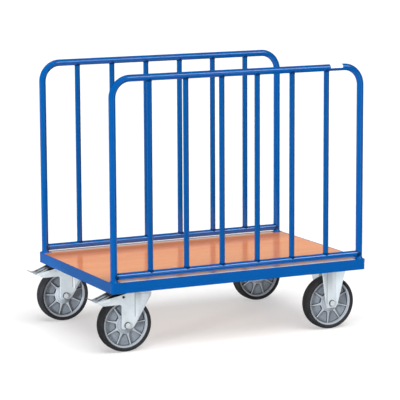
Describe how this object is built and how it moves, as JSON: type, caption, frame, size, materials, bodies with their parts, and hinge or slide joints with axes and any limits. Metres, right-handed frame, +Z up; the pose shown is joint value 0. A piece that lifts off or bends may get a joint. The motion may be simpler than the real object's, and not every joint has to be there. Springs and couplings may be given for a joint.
{
  "type": "sheet goods cart",
  "caption": "Platform cart with a framed wooden deck, a barred tube hoop along each long side, fixed castors at one end and braked swivel castors at the other.",
  "frame": {"origin": "on the floor, under the middle of the whole cart with its brake pedals", "axes": "+X along the deck towards the fixed castors, +Y across to the rear hoop, +Z up"},
  "size_m": [1.1026, 0.7, 1.0012],
  "materials": {
    "blue_paint": "gloss powder coat",
    "beech_board": "beech decor, semi-gloss",
    "zinc_sheet": "bright zinc plate",
    "plain_steel": "zinc plated steel",
    "grey_rim": "moulded grey polyamide",
    "black_tyre": "solid rubber",
    "black_plastic": "moulded plastic"
  },
  "bodies": {
    "chassis": {"front_side_rail": "blue_paint", "rear_side_rail": "blue_paint", "left_end_rail": "blue_paint", "right_end_rail": "blue_paint", "deck_board": "beech_board", "swivel_cross_member": "blue_paint", "fixed_cross_member": "blue_paint", "front_left_socket": "blue_paint", "front_right_socket": "blue_paint", "front_hoop": "blue_paint", "front_lower_rail": "blue_paint", "front_bar_1": "blue_paint", "front_bar_2": "blue_paint", "front_bar_3": "blue_paint", "front_bar_4": "blue_paint", "front_bar_5": "blue_paint", "front_bar_6": "blue_paint", "front_fixed_bracket": "zinc_sheet", "front_swivel_plate": "zinc_sheet", "front_fixed_axle": "plain_steel", "rear_left_socket": "blue_paint", "rear_right_socket": "blue_paint", "rear_hoop": "blue_paint", "rear_lower_rail": "blue_paint", "rear_bar_1": "blue_paint", "rear_bar_2": "blue_paint", "rear_bar_3": "blue_paint", "rear_bar_4": "blue_paint", "rear_bar_5": "blue_paint", "rear_bar_6": "blue_paint", "rear_fixed_bracket": "zinc_sheet", "rear_swivel_plate": "zinc_sheet", "rear_fixed_axle": "plain_steel"},
    "front_fork": {"front_swivel_fork": "zinc_sheet", "front_swivel_seal": "zinc_sheet", "front_kingpin": "plain_steel", "front_swivel_axle": "plain_steel", "front_brake_pivot": "plain_steel"},
    "front_pedal": {"front_brake_pedal": "zinc_sheet", "front_brake_shoe": "black_plastic"},
    "front_swivel_wheel": {"front_swivel_rim": "grey_rim", "front_swivel_tyre": "black_tyre", "front_swivel_bush": "plain_steel"},
    "front_fixed_wheel": {"front_fixed_rim": "grey_rim", "front_fixed_tyre": "black_tyre", "front_fixed_bush": "plain_steel"},
    "rear_fork": {"rear_swivel_fork": "zinc_sheet", "rear_swivel_seal": "zinc_sheet", "rear_kingpin": "plain_steel", "rear_swivel_axle": "plain_steel", "rear_brake_pivot": "plain_steel"},
    "rear_pedal": {"rear_brake_pedal": "zinc_sheet", "rear_brake_shoe": "black_plastic"},
    "rear_swivel_wheel": {"rear_swivel_rim": "grey_rim", "rear_swivel_tyre": "black_tyre", "rear_swivel_bush": "plain_steel"},
    "rear_fixed_wheel": {"rear_fixed_rim": "grey_rim", "rear_fixed_tyre": "black_tyre", "rear_fixed_bush": "plain_steel"}
  },
  "joints": [
    {"name": "front_swivel", "type": "hinge", "parent": "chassis", "child": "front_fork", "pos_m": [-0.36574, -0.293, 0.22], "axis": [0, 0, 1], "continuous": true},
    {"name": "front_swivel_wheel_spin", "type": "hinge", "parent": "front_fork", "child": "front_swivel_wheel", "pos_m": [-0.41774, -0.293, 0.1], "axis": [0, 1, 0], "continuous": true},
    {"name": "front_brake_press", "type": "hinge", "parent": "front_fork", "child": "front_pedal", "pos_m": [-0.43174, -0.293, 0.204], "axis": [0, -1, 0], "range_deg": [0, 5.5]},
    {"name": "front_fixed_wheel_spin", "type": "hinge", "parent": "chassis", "child": "front_fixed_wheel", "pos_m": [0.42125, -0.293, 0.1], "axis": [0, 1, 0], "continuous": true},
    {"name": "rear_swivel", "type": "hinge", "parent": "chassis", "child": "rear_fork", "pos_m": [-0.36574, 0.293, 0.22], "axis": [0, 0, 1], "continuous": true},
    {"name": "rear_swivel_wheel_spin", "type": "hinge", "parent": "rear_fork", "child": "rear_swivel_wheel", "pos_m": [-0.41774, 0.293, 0.1], "axis": [0, 1, 0], "continuous": true},
    {"name": "rear_brake_press", "type": "hinge", "parent": "rear_fork", "child": "rear_pedal", "pos_m": [-0.43174, 0.293, 0.204], "axis": [0, -1, 0], "range_deg": [0, 5.5]},
    {"name": "rear_fixed_wheel_spin", "type": "hinge", "parent": "chassis", "child": "rear_fixed_wheel", "pos_m": [0.42125, 0.293, 0.1], "axis": [0, 1, 0], "continuous": true}
  ]
}
